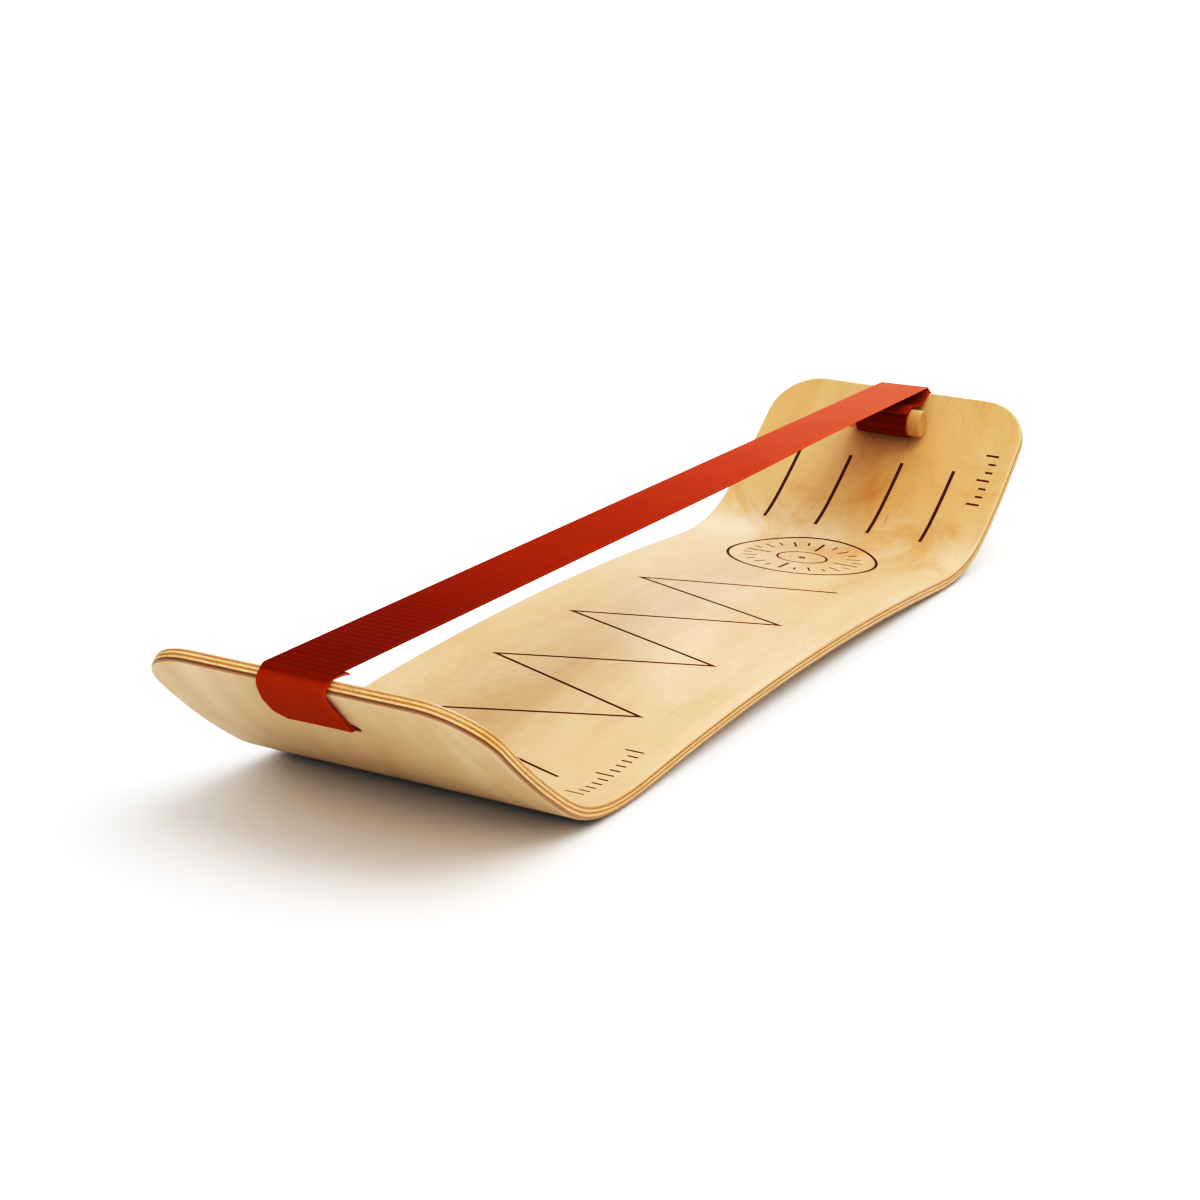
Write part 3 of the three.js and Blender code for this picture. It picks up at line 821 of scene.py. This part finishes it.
def resample(path, step):
    """Evenly spaced points along a path, and their distances from its start."""
    dist = np.concatenate([[0], np.cumsum(np.linalg.norm(np.diff(path, axis=0), axis=1))])
    keep = np.concatenate([[True], np.diff(dist) > 1e-4])
    path, dist = path[keep], dist[keep]
    t = np.linspace(0, dist[-1], max(2, int(round(dist[-1] / step))) + 1)
    return np.stack([np.interp(t, dist, path[:, i]) for i in range(2)], 1), t


def smooth_path(path, times, keep):
    """Average neighbours repeatedly, leaving keep points at each end."""
    for _ in range(times):
        new = path.copy()
        new[keep:-keep] = (path[keep - 1:-keep - 1] + 2 * path[keep:-keep]
                           + path[keep + 1:len(path) - keep + 1]) / 4
        path = new
    return path


def ease(x, start, stop):
    x = np.clip((np.asarray(x, float) - start) / (stop - start), 0, 1)
    return x * x * (3 - 2 * x)


def fade(start, stop):
    """Painted light and shade that runs evenly along a piece."""
    return lambda t: start + (stop - start) * t / t[-1]


def no_warp(t, y):
    return 0.0


def band_section():
    """Closed cross-section: rows of (across, offset, side), side being 1 and -1 on the faces."""
    edge_r = WEB_T / 2
    flat = WEB_W / 2 - edge_r
    across = np.array([-1, -0.985, -0.965, -0.93, -0.85, -0.6, -0.3, 0,
                       0.3, 0.6, 0.85, 0.93, 0.965, 0.985, 1]) * flat
    section = [(y, edge_r, 1.0) for y in across]
    section += [(flat + edge_r * math.cos(a), edge_r * math.sin(a), math.sin(a))
                for a in np.radians([55, 20, -20, -55])]
    section += [(y, -edge_r, -1.0) for y in across[::-1]]
    section += [(-flat + edge_r * math.cos(a), edge_r * math.sin(a), math.sin(a))
                for a in np.radians([235, 200, 160, 125])]
    return section


def band_piece(name, path, start, painted_light, lift=no_warp, shift=no_warp, rib=0.055, pitch=1.62):
    """Woven band along an (x, z) path, with crosswise ribs, toothed selvedges and closed ends.
    start is the band's own length where the path begins; tone(t) is its painted light and shade;
    lift(t, y) moves it off the path and shift(t, y) sideways."""
    points, t = resample(path, BAND_STEP)
    tangent = np.gradient(points, axis=0)
    tangent /= np.linalg.norm(tangent, axis=1)[:, None]
    normal = np.stack([-tangent[:, 1], tangent[:, 0]], 1)
    section = band_section()
    rows, cols = len(points), len(section)
    u = t + start
    rib_upper = np.sin(2 * np.pi * u / pitch)
    rib_lower = np.sin(2 * np.pi * u / pitch + np.pi)
    verts = np.zeros((rows, cols, 3))
    web = np.zeros((rows, cols, 3))
    for k, (y, offset, side) in enumerate(section):
        # a low ridge 1.9 mm in from each edge, and teeth 0.17 mm deep on the edge itself
        ridge = 0.10 * math.exp(-((abs(y) - (WEB_W / 2 - 1.9)) / 0.7) ** 2)
        relief = rib * (rib_upper if side >= 0 else rib_lower) + ridge
        tooth = 0.17 * (0.5 + 0.5 * rib_upper) if abs(side) < 0.99 else 0.0
        off = offset + side * relief + lift(t, y)
        verts[:, k, 0] = points[:, 0] + normal[:, 0] * off
        verts[:, k, 1] = y + np.sign(y) * tooth + shift(t, y) + WEB_Y
        verts[:, k, 2] = points[:, 1] + normal[:, 1] * off
        web[:, k, 0] = u
        web[:, k, 1] = y
        web[:, k, 2] = side
    faces = []
    for i in range(rows - 1):
        a, b = i * cols, (i + 1) * cols
        for k in range(cols):
            k2 = (k + 1) % cols
            faces.append((a + k, b + k, b + k2, a + k2))
    faces.append(range(cols))
    faces.append(range(rows * cols - 1, (rows - 1) * cols - 1, -1))
    ob = mesh_object(name, verts.reshape(-1, 3) * MM, faces,
                     {"web": web.reshape(-1, 3) * MM, "painted_light": np.repeat(painted_light(t), cols)},
                     sharp=60)
    bm = bmesh.new()
    bm.from_mesh(ob.data)
    bmesh.ops.recalc_face_normals(bm, faces=bm.faces)
    bm.to_mesh(ob.data)
    bm.free()
    return ob


def loop_path(side, pin_r, pin_lift):
    """From the rim's top down and under the deck, up through the slot, round the pin and back
    inside the first layer."""
    fold_r = R_INNER - EDGE_R + 2.2
    fold_c = (SLOT_D - LAYER / 2 - fold_r, -H + fold_r - (R_INNER - EDGE_R))
    loop_r = pin_r + PIN_GAP + WEB_T / 2
    pin_c = (SLOT_D, H + pin_lift + pin_r)
    flare_r = 4.0               # where the two layers part below the pin
    across = LAYER / 2 + flare_r
    rise = math.sqrt((flare_r + loop_r) ** 2 - across ** 2)
    flare_n, flare_a = pin_c[1] - rise, math.atan2(rise, across)

    def under(radius, distances):
        return np.array([(d, -H + EDGE_R - radius) for d in distances])

    down = np.concatenate([
        arc(EDGE_TOP, R_OUTER, UP, math.pi, 14),
        arc(EDGE_LOW, R_OUTER, math.pi, 1.5 * math.pi, 18),
        under(R_OUTER, [10, 16, 22, 29])])
    loop = np.concatenate([
        arc(fold_c, fold_r + LAYER, -math.pi / 2, 0, 18),
        arc((SLOT_D + across, flare_n), flare_r, math.pi, math.pi - flare_a, 10),
        arc(pin_c, loop_r, -flare_a, math.pi + flare_a, 72),
        arc((SLOT_D - across, flare_n), flare_r, flare_a, 0, 10),
        arc(fold_c, fold_r, 0, -math.pi / 2, 12)])
    back = np.concatenate([
        under(R_INNER, [29, 22, 16, 10]),
        arc(EDGE_LOW, R_INNER, 1.5 * math.pi, math.pi, 12),
        arc(EDGE_TOP, R_INNER, math.pi, UP, 10)])
    return np.concatenate([along_kick(side, down), at_slot(side, loop), along_kick(side, back)])


# The band doesn't lie quite true. Its far half is twisted a little, so its -Y edge is lifted and
# drawn in; the near loop bellies out at its +Y edge just past the turn round the rim.
WRAP_END = R_OUTER * (1.5 * math.pi - UP) + 2 * (H - EDGE_R)    # path length to the turn's end
TWIST_LIFT, TWIST_SHIFT = 1.3, 3.0


def minus_y(y):
    """1 at the band's -Y edge, 0 at its +Y edge."""
    return (WEB_W / 2 - y) / WEB_W


def plus_y(y):
    return ease(y, -6, WEB_W / 2)


def far_run_lift(t, y):
    return TWIST_LIFT * ease(t, 20, 330) * minus_y(y)


def far_run_shift(t, y):
    return TWIST_SHIFT * ease(t, 20, 330) * minus_y(y)


def far_loop_lift(t, y):
    return TWIST_LIFT * (1 - ease(t, 2, 26)) * minus_y(y)


def far_loop_shift(t, y):
    return TWIST_SHIFT * (1 - ease(t, 4, 34)) * minus_y(y)


def near_loop_lift(t, y):
    past = t - WRAP_END
    return -2.5 * ease(past, -5, 15) * (1 - ease(past, 26, 47)) * plus_y(y)


def near_loop_shift(t, y):
    past, from_end = t - WRAP_END, t - t[-1]
    return (1.5 * ease(past, -5, 13) * (1 - ease(past, 25, 46)) * plus_y(y)
            + 1.9 * ease(past, 12, 40) * (1 - ease(from_end, -24, -4)) * minus_y(y)
            - 0.5 * ease(past, 32, 42) * (1 - ease(from_end, -50, -30)) * (1 - minus_y(y)))


# painted light: the near loop is painted dark at the rim's top, under the run's end, and lighter
# down the face of the wrap
def near_loop_painted_light(t):
    return 0.02 + 0.45 * ease(t, 1, 13)


# painted light: the far loop is painted bright where it turns over the rim's top and dark from
# there on, in the shade round the pin
def far_loop_painted_light(t):
    return 1.0 - 0.86 * ease(t, 4, 26)


def build_loop(side, end, pin, painted_light, lift, shift):
    # the band's own length counts from the middle of the board
    ob = band_piece("webbing_loop_" + end, loop_path(side, *pin), start=abs(RIM[side][0]),
                    painted_light=painted_light, lift=lift, shift=shift)
    finish_piece(ob, M_WEB, "root", "webbing", "webbing_%s_anchor" % end)


def build_run(side, end, replaced, painted_light, lift=no_warp, shift=no_warp):
    """Straight run from the middle of the board to a rim."""
    rim_x = RIM[side][0]
    path = np.stack([np.linspace(rim_x, 0.0, 60), np.full(60, SPAN_Z)], 1)[::-1]
    ob = band_piece("webbing_run_" + end, path, start=0.0, painted_light=painted_light, lift=lift, shift=shift)
    ob.data.materials.append(M_WEB)
    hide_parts(*replaced)
    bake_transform(ob)


def build_near_tail():
    """Short end under the near run, sagging at its cut; it moves with the near run."""
    x0, z0 = RIM[-1][0] + 0.2, RIM[-1][1] + R_INNER
    dip = math.radians(2.3)
    path = np.array([            # from (length, sag)
        (x0 + length * math.cos(dip), z0 - length * math.sin(dip) - sag)
        for length, sag in ((0, 0), (5, 0), (10, 0.05), (14, 0.3), (16, 0.6), (18, 1.1))])
    # painted light: a half-shaded tail, painted lighter towards its cut
    ob = band_piece("webbing_tail_near", path, start=TAIL_START, painted_light=fade(0.5, 0.7))
    finish_piece(ob, M_WEB, "webbing_near", "webbing", "webbing_near_tail")


def build_far_tail():
    """Loose end down the kick's inner face and over the wrapped pin, drooping free."""
    pin_r, pin_lift = FAR_PIN
    face = np.concatenate([
        arc(EDGE_TOP, R_INNER, UP - 0.03, math.pi / 2 + 0.05, 8),
        np.array([(7, H + 2.2), (12, H + 3.0), (19, H + 4.6)])])
    drape_r = pin_r + PIN_GAP + WEB_T + WEB_GAP + WEB_T / 2
    drape = arc((SLOT_D, H + pin_lift + pin_r), drape_r, math.pi - 0.30, UP - 0.30, 16)
    path = np.concatenate([along_kick(1, face), at_slot(1, drape)])
    droop = path[-1] + np.array([(-6, -1.7), (-12, -4.6)])
    path, _ = resample(np.concatenate([path, droop]), 0.5)
    # painted shade: the far tail is painted darker towards its end, under the run
    ob = band_piece("webbing_tail_far", smooth_path(path, times=60, keep=4), start=TAIL_START,
                    painted_light=fade(0.42, 0.30), rib=0.14, pitch=1.8)
    finish_piece(ob, M_WEB, "root", "webbing", "webbing_far_tail")


# painted light along the band: the runs are painted dark at the near rim and bright at the far
# rim, where the back light falls
build_loop(-1, "near", NEAR_PIN, near_loop_painted_light, near_loop_lift, near_loop_shift)
build_run(-1, "near", ("webbing_near_span", "webbing_centre"), fade(0.5, 0.0))
build_loop(1, "far", FAR_PIN, far_loop_painted_light, far_loop_lift, far_loop_shift)
build_run(1, "far", ("webbing_far_span",), fade(0.5, 1.0), far_run_lift, far_run_shift)
build_near_tail()
build_far_tail()

# ---------------------------------------------------------------- anchor pins
PIN_ROUND = 1.3                 # rounding at the ends of a pin
PIN_SEGMENTS = 96


def build_pin(end, seed):
    """Turned pin along Y, sized and placed by its CAD piece."""
    mat = pin_material("pin_wood_" + end, seed)
    cad_piece = end + "_anchor_pin"
    lo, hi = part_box(cad_piece)
    radius, half = (hi.x - lo.x) / 2 / MM, (hi.y - lo.y) / 2 / MM
    core = radius - PIN_ROUND
    # profile of (along, radius): end face, rounding, then the straight body
    cap = [(-half, core * share) for share in (0.25, 0.5, 0.75, 0.9)]
    cap += [(-half + PIN_ROUND - PIN_ROUND * math.cos(a), core + PIN_ROUND * math.sin(a))
            for a in np.linspace(0, math.pi / 2, 6)]
    body = [(y, radius) for y in np.linspace(-half + PIN_ROUND, half - PIN_ROUND, 7)[1:-1]]
    profile = cap + body + [(-y, r) for y, r in reversed(cap)]

    count = PIN_SEGMENTS
    verts = [(0, -half, 0)]
    for y, r in profile:
        for k in range(count):
            a = math.tau * k / count
            verts.append((r * math.cos(a), y, r * math.sin(a)))
    last = len(verts)
    verts.append((0, half, 0))
    rings = [range(1 + i * count, 1 + (i + 1) * count) for i in range(len(profile))]
    faces = []
    for k in range(count):
        k2 = (k + 1) % count
        faces.append((0, rings[0][k], rings[0][k2]))
        faces.append((last, rings[-1][k2], rings[-1][k]))
    for a, b in zip(rings[:-1], rings[1:]):
        for k in range(count):
            k2 = (k + 1) % count
            faces.append((a[k], b[k], b[k2], a[k2]))
    verts = np.array(verts) * MM
    ob = mesh_object("anchor_pin_" + end, verts + np.array((lo + hi) / 2), faces,
                     {"loc": verts[:, [1, 0, 2]]}, sharp=40)
    finish_piece(ob, mat, end + "_pin", "pin_wood", cad_piece)


build_pin("near", seed=2.0)
build_pin("far", seed=0.0)

# ---------------------------------------------------------------- floor strips
STRIP_S0, STRIP_S1 = 283, 358   # arc lengths of the strip's long edges
STRIP_HALF = 121                # half its length, across the board
STRIP_TOP, STRIP_LOW = -(H + 0.02), -(H + 2.3)
STRIP_ROUND = 1.1
STRIP_RIB, STRIP_RIB_PITCH = 0.12, 2.5


def strip_underside(s, y):
    """Height of the strip's underside: rounded at its edges, with fine crosswise ribs."""
    inside = min(s - STRIP_S0, STRIP_S1 - s, STRIP_HALF - abs(y))
    n = STRIP_LOW + round_over(inside, STRIP_ROUND)
    if inside > 1.5:
        phase = (s - STRIP_S0) / STRIP_RIB_PITCH * 2 * math.pi
        n += STRIP_RIB * (0.5 + 0.5 * math.cos(phase))
    return n


def build_strip(side, end):
    stations = np.linspace(STRIP_S0, STRIP_S1, 51)
    ends = STRIP_HALF - np.array([0, 0.4, 1.2])
    across = np.concatenate([-ends, np.linspace(-118, 118, 41), ends[::-1]])
    top = [(side * s, y, STRIP_TOP) for s in stations for y in across]
    low = [(side * s, y, strip_underside(s, y)) for s in stations for y in across]
    dev = np.array(top + low)
    verts = deck_to_world(dev)
    verts[:, 2] = np.maximum(verts[:, 2], 0.0)      # nothing goes below the floor
    rows, cols = len(stations), len(across)
    top_ids = np.arange(rows * cols).reshape(rows, cols)
    low_ids = top_ids + rows * cols
    faces = sheet_faces(top_ids, low_ids)
    faces += wall_faces(low_ids, top_ids, block_ring(0, rows - 1, 0, cols - 1))
    ob = mesh_object("floor_strip_" + end, verts, faces, {"dev": dev * MM})
    finish_piece(ob, M_RUBBER, "root", "floor_strip", end + "_floor_strip")


build_strip(-1, "near")
build_strip(1, "far")


# ---------------------------------------------------------------- stage (metres)
def build_floor():
    """White floor that bounces a warmer, dimmer light than the camera sees."""
    bpy.ops.mesh.primitive_plane_add(size=30, location=(0, 0, 0))
    floor = bpy.context.object
    floor.name = "floor"
    g = Graph("floor_white")
    seen = g.node("ShaderNodeLightPath").outputs["Is Camera Ray"]
    color = g.mix(seen, (0.78, 0.73, 0.64), (0.93, 0.93, 0.93))
    floor.data.materials.append(g.out(color, 0.9, Specular_IOR_Level=0.1))


def build_world():
    """White to the camera; for lighting, a sky that brightens with height."""
    world = bpy.data.worlds.new("studio")
    bpy.context.scene.world = world
    world.use_nodes = True
    tree = world.node_tree
    tree.nodes.clear()
    coords, split, brighten, path = (tree.nodes.new(kind) for kind in (
        "ShaderNodeTexCoord", "ShaderNodeSeparateXYZ", "ShaderNodeMapRange",
        "ShaderNodeLightPath"))
    brighten.interpolation_type = "SMOOTHSTEP"
    # height from, height to, share of the light from, share to
    for i, value in enumerate((0.0, 0.75, 0.36, 1.0), 1):
        brighten.inputs[i].default_value = value
    light, seen, mix, output = (tree.nodes.new(kind) for kind in (
        "ShaderNodeBackground", "ShaderNodeBackground", "ShaderNodeMixShader",
        "ShaderNodeOutputWorld"))
    strength = tree.nodes.new("ShaderNodeMath")
    strength.operation = "MULTIPLY"
    strength.inputs[1].default_value = 0.86
    for source, target in (
            (coords.outputs["Generated"], split.inputs[0]),
            (split.outputs[2], brighten.inputs[0]),
            (brighten.outputs[0], strength.inputs[0]),
            (strength.outputs[0], light.inputs["Strength"]),
            (path.outputs["Is Camera Ray"], mix.inputs[0]),
            (light.outputs[0], mix.inputs[1]),
            (seen.outputs[0], mix.inputs[2]),
            (mix.outputs[0], output.inputs[0])):
        tree.links.new(source, target)
    for background in (light, seen):
        background.inputs["Color"].default_value = (1, 1, 1, 1)


def set_tone_curve():
    view = bpy.context.scene.view_settings
    view.view_transform = "Standard"
    view.use_curve_mapping = True
    for point in ((0.06, 0.024), (0.13, 0.075), (0.22, 0.18),
                  (0.34, 0.355), (0.5, 0.575), (0.72, 0.81)):
        view.curve_mapping.curves[3].points.new(*point)
    view.curve_mapping.update()


def add_light(name, kind, location, direction, power):
    light = bpy.data.lights.new(name, kind)
    light.energy = power
    ob = link_object(name, light)
    ob.location = location
    ob.rotation_mode = "QUATERNION"
    ob.rotation_quaternion = Vector(direction).to_track_quat("-Z", "Y")
    return ob


def add_sun(name, azimuth, elevation, angle, power):
    """Soft sun; azimuth and elevation, in degrees, say where it stands."""
    az, el = math.radians(azimuth), math.radians(elevation)
    direction = (-math.cos(az) * math.cos(el), -math.sin(az) * math.cos(el), -math.sin(el))
    ob = add_light(name, "SUN", (0, 0, 3), direction, power)
    ob.data.angle = math.radians(angle)


def add_area(name, location, target, size, power):
    direction = Vector(target) - Vector(location)
    ob = add_light(name, "AREA", location, direction, power)
    ob.data.shape = "RECTANGLE"
    ob.data.size, ob.data.size_y = size
    ob.visible_camera = False


def add_camera(location, yaw, pitch, roll, lens):
    """Camera at location; angles in radians, lens in millimetres."""
    data = bpy.data.cameras.new("camera")
    camera = link_object("camera", data)
    data.sensor_width = 36.0
    data.lens = lens
    data.clip_start, data.clip_end = 0.05, 60
    forward = Vector((math.cos(yaw) * math.cos(pitch), math.sin(yaw) * math.cos(pitch),
                      -math.sin(pitch)))
    right = Vector((math.sin(yaw), -math.cos(yaw), 0))
    up = right.cross(forward)
    rolled_right = right * math.cos(roll) + up * math.sin(roll)
    rolled_up = -right * math.sin(roll) + up * math.cos(roll)
    turn = Matrix((rolled_right, rolled_up, -forward)).transposed()
    camera.matrix_world = Matrix.Translation(Vector(location)) @ turn.to_4x4()
    bpy.context.scene.camera = camera


build_floor()
build_world()
set_tone_curve()
add_sun("key_soft", azimuth=-60, elevation=67, angle=60, power=1.36)
add_area("back_soft", location=(1.15, 0.30, 0.52), target=(0.45, 0.0, 0.13),
         size=(0.5, 0.3), power=1.9)
add_area("front_fill", location=(-1.65, -0.95, 0.40), target=(-0.45, -0.02, 0.06),
         size=(0.9, 0.5), power=2.4)
add_camera(location=(-1.75889, -0.82389, 0.62731), yaw=0.4645, pitch=0.29255, roll=0.04455,
           lens=77.066453)
